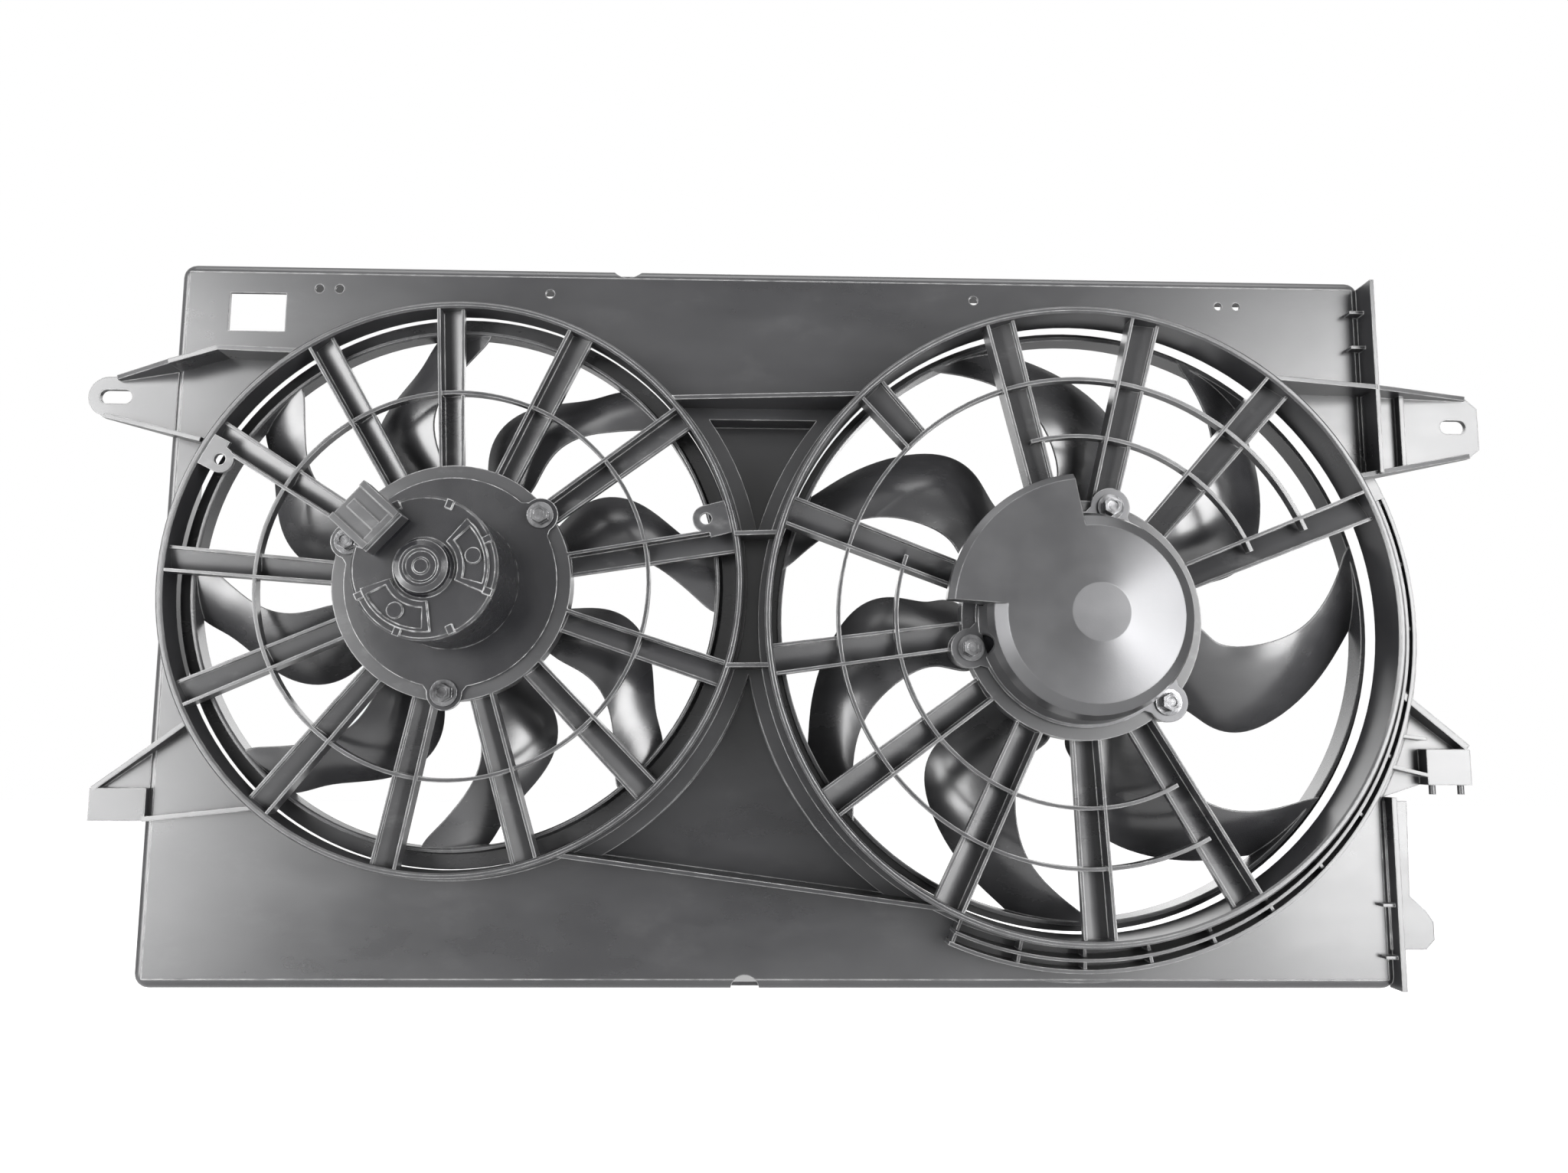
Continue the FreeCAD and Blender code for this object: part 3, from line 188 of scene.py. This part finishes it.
def dull_solid(name, dark, light, rough, scale):
    """Sintered, pressed or laminated material with a speckled surface."""
    t = Tree(name)
    speck = t.noise(scale, detail=4.0, rough=0.65)
    t.colour(t.mix(t.remap(speck, 0.35, 0.65, 0.0, 1.0), dark, light))
    t.roughness(t.remap(speck, 0.3, 0.7, rough - 0.08, rough + 0.08))
    t.bump(speck, strength=0.12, distance=0.0003)
    return t.mat


def grey(level, blue=0.0):
    """A grey, or one with a little more blue."""
    return (level, level, level + blue)


# The fourth colour of the plastics and paints is the pale edge colour, partly wear and partly a painted
# highlight; the plastics also use it for dust.
SHROUD = moulded_plastic("shroud_black", grey(0.010, 0.001), grey(0.018, 0.001), grey(0.32), 0.30,
                         dusty=0.02)
GUARD = moulded_plastic("guard_black", grey(0.014, 0.001), grey(0.026, 0.001), grey(0.34), 0.30)
FAN = moulded_plastic("fan_black", grey(0.012, 0.001), grey(0.026, 0.001), grey(0.18), 0.25, dusty=0.06)
PLUG = moulded_plastic("plug_black", grey(0.012, 0.001), grey(0.022, 0.001), grey(0.24), 0.33)
MOTOR = painted_steel("motor_paint", grey(0.006, 0.001), grey(0.012, 0.001), grey(0.50), 0.25)
COVER = painted_steel("cover_coat", grey(0.055, 0.002), grey(0.072, 0.002), grey(0.30), 0.32,
                      metallic=0.70, peel=900.0, peel_depth=0.00012)
ZINC = bare_metal("dark_zinc", grey(0.06, 0.002), grey(0.26, 0.005), 0.20)
STEEL = bare_metal("ground_steel", grey(0.45, 0.01), grey(0.62, 0.02), 0.28)
LAMINATION = bare_metal("core_sheets", grey(0.24, 0.01), grey(0.38, 0.02), 0.45,
                        scratch=(1.0, 40.0, 1.0), bump=0.3)
TINNED = bare_metal("tinned_blade", (0.60, 0.58, 0.52), (0.78, 0.76, 0.70), 0.30)
COPPER = bare_metal("varnished_copper", (0.50, 0.20, 0.09), (0.72, 0.34, 0.17), 0.34)
BRONZE = dull_solid("sintered_bronze", (0.30, 0.19, 0.09), (0.46, 0.31, 0.16), 0.55, 700.0)
FERRITE = dull_solid("ferrite", grey(0.035, 0.002), grey(0.075, 0.005), 0.7, 500.0)
CARBON = dull_solid("carbon", grey(0.018), grey(0.05), 0.6, 600.0)
CARD = dull_solid("laminate", (0.16, 0.10, 0.045), (0.26, 0.17, 0.08), 0.6, 300.0)

# The key is what follows the first word of a node's name.
MATERIAL_OF = {
    "body": SHROUD, "skirt": SHROUD, "barrel": SHROUD, "collar": SHROUD, "ribs": SHROUD, "ear": SHROUD,
    "foot": SHROUD, "guard": GUARD, "fan": FAN, "connector": PLUG, "terminals": TINNED,
    "mount_plate": MOTOR, "motor_can": MOTOR, "end_cap": MOTOR, "motor_cover": COVER,
    "mount_bolts": ZINC, "fan_insert": ZINC, "fan_nut": ZINC, "threaded_inserts": BRONZE,
    "front_bushing": BRONZE, "rear_bushing": BRONZE, "shaft": STEEL, "brush_springs": STEEL,
    "magnets": FERRITE, "armature_core": LAMINATION, "windings": COPPER, "commutator": COPPER,
    "brush_card": CARD, "brushes": CARBON,
}


def dress_nodes():
    """Give every node its material."""
    for name, obj in NODES.items():
        kind = name.split("_", 1)[1]
        material = MATERIAL_OF[kind]
        if not obj.material_slots:
            obj.data.materials.append(material)
        for slot in obj.material_slots:
            slot.material = material


# ------------------------------------------------------------ stage, lights and camera
FLOOR_DROP = 0.25       # m, floor below the part, so that its shadow is soft
FLOOR_SIZE = 14.0
FLOOR_GREY = 0.86
FLOOR_ROUGHNESS = 0.9
FLOOR_GLOW = 0.75       # emission that only the camera sees, which brings the floor to white
AMBIENT = 0.30          # world strength for light that scatters off matt surfaces


def white_when_seen(tree, base_strength):
    """Strength that is 1 for camera, glossy and transmission rays and base_strength for the rest."""
    path = tree.nodes.new("ShaderNodeLightPath")
    seen = path.outputs["Is Camera Ray"]
    for name in ("Is Glossy Ray", "Is Transmission Ray"):
        either = tree.nodes.new("ShaderNodeMath")
        either.operation = "MAXIMUM"
        tree.links.new(seen, either.inputs[0])
        tree.links.new(path.outputs[name], either.inputs[1])
        seen = either.outputs["Value"]
    strength = tree.nodes.new("ShaderNodeMapRange")
    strength.inputs["To Min"].default_value = base_strength
    strength.inputs["To Max"].default_value = 1.0
    tree.links.new(seen, strength.inputs["Value"])
    return strength.outputs["Result"]


def make_world():
    """White surroundings that light the part only faintly."""
    world = bpy.data.worlds.new("studio")
    bpy.context.scene.world = world
    world.use_nodes = True
    tree = world.node_tree
    background = tree.nodes["Background"]
    background.inputs["Color"].default_value = (1.0, 1.0, 1.0, 1.0)
    tree.links.new(white_when_seen(tree, AMBIENT), background.inputs["Strength"])


def make_floor():
    """Pale floor that keeps the part's shadow and looks white to the camera."""
    low = cad_box[0][2] - FLOOR_DROP
    bpy.ops.mesh.primitive_plane_add(size=FLOOR_SIZE, location=(0.0, 0.0, low))
    floor = bpy.context.object
    floor.name = "floor"
    mat = bpy.data.materials.new("pale_floor")
    mat.use_nodes = True
    tree = mat.node_tree
    shader = tree.nodes["Principled BSDF"]
    shader.inputs["Base Color"].default_value = (*grey(FLOOR_GREY), 1.0)
    shader.inputs["Roughness"].default_value = FLOOR_ROUGHNESS
    shader.inputs["Emission Color"].default_value = (1.0, 1.0, 1.0, 1.0)
    path = tree.nodes.new("ShaderNodeLightPath")
    glow = tree.nodes.new("ShaderNodeMath")
    glow.operation = "MULTIPLY"
    glow.inputs[1].default_value = FLOOR_GLOW
    tree.links.new(path.outputs["Is Camera Ray"], glow.inputs[0])
    tree.links.new(glow.outputs["Value"], shader.inputs["Emission Strength"])
    floor.data.materials.append(mat)


PART_MIDDLE = (0.0, -0.05, 0.23)
LAMPS = (               # name, place, target and size in m, power in W
    ("box_left", (-1.20, -1.05, 0.34), (-0.30, 0.0, 0.20), (0.76, 1.20), 56.0),
    ("box_right", (1.02, -1.10, 0.22), (0.30, 0.0, 0.20), (0.62, 1.25), 57.0),
    ("top", (0.0, -0.5, 1.7), PART_MIDDLE, (2.0, 0.8), 24.0),
    ("back", (0.3, 1.6, 1.0), PART_MIDDLE, (1.4, 1.0), 12.0),
)


def area_light(name, place, target, size, power):
    """Rectangular lamp at place that faces target."""
    data = bpy.data.lights.new(name, "AREA")
    data.shape = "RECTANGLE"
    data.size, data.size_y = size
    data.energy = power
    light = bpy.data.objects.new(name, data)
    light.location = place
    light.rotation_euler = (Vector(target) - Vector(place)).to_track_quat("-Z", "Y").to_euler()
    bpy.context.collection.objects.link(light)


def make_lights():
    """Tall softboxes at both sides, which leave the panel's middle dark, and weak lamps above and behind."""
    for lamp in LAMPS:
        area_light(*lamp)


CAMERA_PLACE = (-0.0159, -0.8202, 0.1521)      # m
CAMERA_PITCH = 7.23     # degrees, as are yaw and roll
CAMERA_YAW = -1.55
CAMERA_ROLL = -0.34
CAMERA_LENS = 27.80     # mm
SENSOR_WIDTH = 36.0     # mm


def make_camera():
    """Camera in front of the part, on its motor side."""
    data = bpy.data.cameras.new("camera")
    data.sensor_width = SENSOR_WIDTH
    data.lens = CAMERA_LENS
    camera = bpy.data.objects.new("camera", data)
    turn = Euler((0, 0, math.radians(CAMERA_YAW))).to_matrix()
    turn = turn @ Euler((math.radians(90.0 + CAMERA_PITCH), 0, 0)).to_matrix()
    turn = turn @ Euler((0, 0, math.radians(-CAMERA_ROLL))).to_matrix()
    camera.matrix_world = turn.to_4x4()
    camera.location = CAMERA_PLACE
    bpy.context.collection.objects.link(camera)
    bpy.context.scene.camera = camera


dress_nodes()
make_world()
make_floor()
make_lights()
make_camera()
bpy.context.scene.view_settings.view_transform = "Standard"
